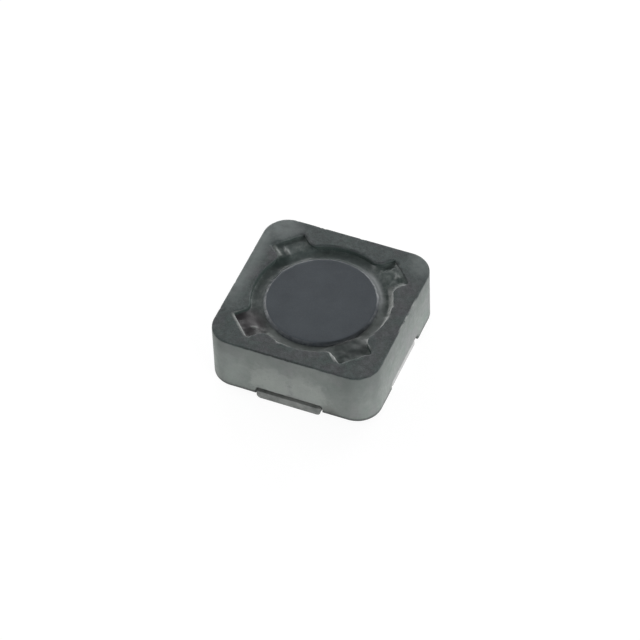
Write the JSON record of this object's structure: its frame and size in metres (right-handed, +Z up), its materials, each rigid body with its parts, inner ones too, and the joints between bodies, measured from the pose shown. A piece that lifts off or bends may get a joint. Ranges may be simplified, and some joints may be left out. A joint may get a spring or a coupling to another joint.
{
  "type": "shielded smd power inductor",
  "caption": "Low-profile surface-mount power inductor: a wire-wound ferrite drum glued into a square ferrite shield on a moulded base with two tinned solder terminals.",
  "frame": {"origin": "centre of the footprint, on the plane of the solder pads", "axes": "+Z up out of the circuit board along the axis of the drum, the least extent; the solder pads lie on the +X and -X sides, the plain tabs of the base on the +Y and -Y sides"},
  "size_m": [0.012, 0.0122, 0.0046],
  "materials": {
    "shield_ferrite": "matt sintered ferrite",
    "drum_ferrite": "smooth ground ferrite",
    "enamelled_copper": "clear enamel",
    "base_plastic": "moulded black",
    "tinned_strip": "matt tin plate",
    "solder": "satin solder",
    "amber_adhesive": "cured epoxy",
    "dark_adhesive": "cured epoxy, uneven gloss"
  },
  "bodies": {
    "root": {"shield_core": "shield_ferrite", "drum_core": "drum_ferrite", "winding": "enamelled_copper", "base_plate": "base_plastic", "terminal_right": "tinned_strip", "terminal_left": "tinned_strip", "solder_right": "solder", "solder_left": "solder", "base_bond": "amber_adhesive", "rim_bond": "dark_adhesive", "corner_bond_front_right": "dark_adhesive", "corner_bond_back_right": "dark_adhesive", "corner_bond_back_left": "dark_adhesive", "corner_bond_front_left": "dark_adhesive"}
  },
  "joints": []
}
